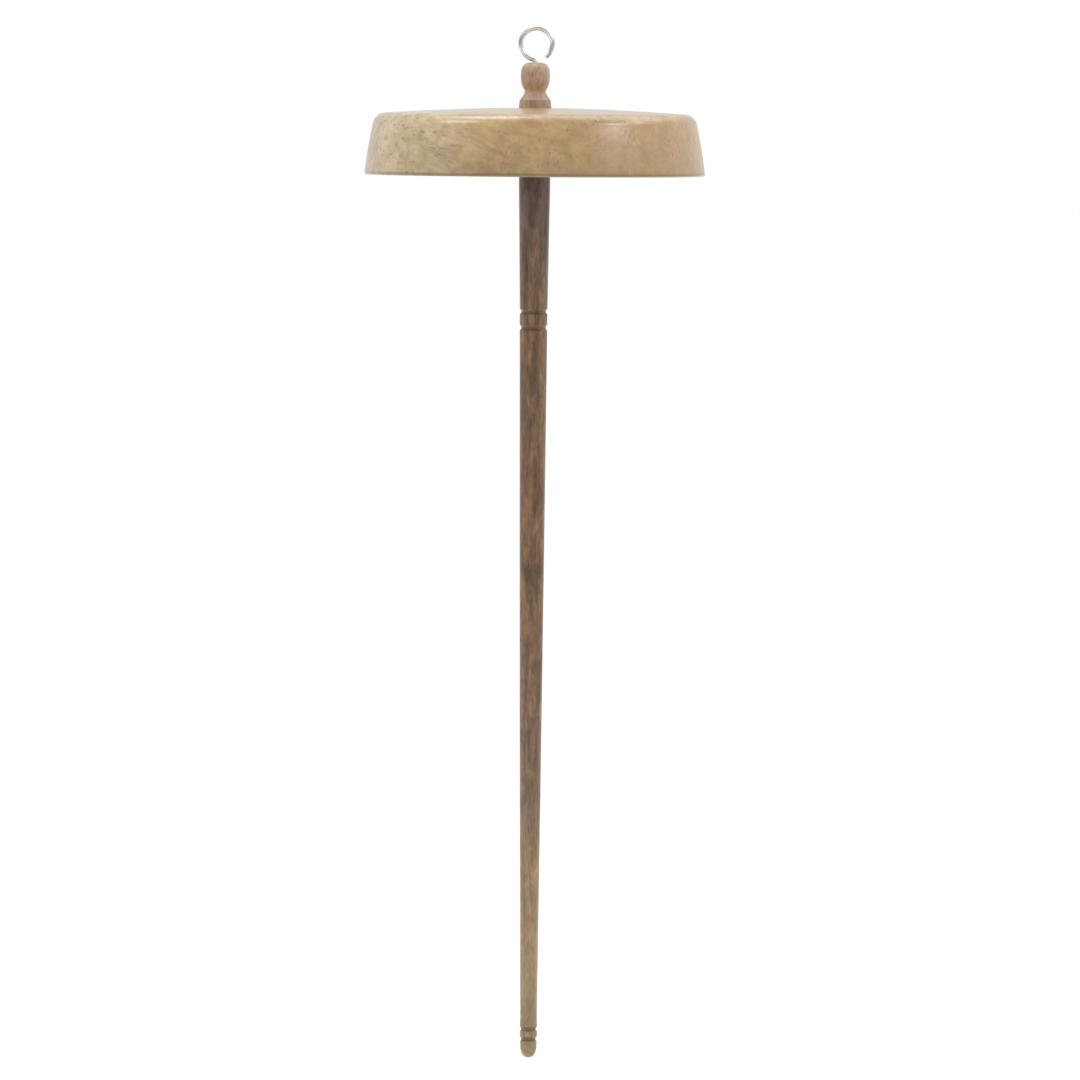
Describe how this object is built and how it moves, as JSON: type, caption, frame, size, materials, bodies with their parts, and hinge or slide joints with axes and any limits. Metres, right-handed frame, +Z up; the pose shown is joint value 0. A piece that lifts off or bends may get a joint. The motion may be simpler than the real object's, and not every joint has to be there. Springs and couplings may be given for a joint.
{
  "type": "drop spindle",
  "caption": "Top-whorl drop spindle: a domed wooden whorl near the top of a long tapered shaft with a turned head and an open wire hook.",
  "frame": {"origin": "on the shaft's axis, at the inner top of the hook's ring, where the yarn holds the spindle", "axes": "+Z up along the shaft from its tip to the hook; the hook's ring lies in the XZ plane with its mouth on the +X side"},
  "size_m": [0.0888, 0.0888, 0.2699],
  "materials": {
    "shaft_wood": "oiled, brown with dark streaks",
    "whorl_wood": "satin lacquer, pale honey brown",
    "hook_metal": "nickel-plated steel wire"
  },
  "bodies": {
    "root": {"shaft": "shaft_wood", "whorl": "whorl_wood", "screw_hook": "hook_metal"}
  },
  "joints": []
}
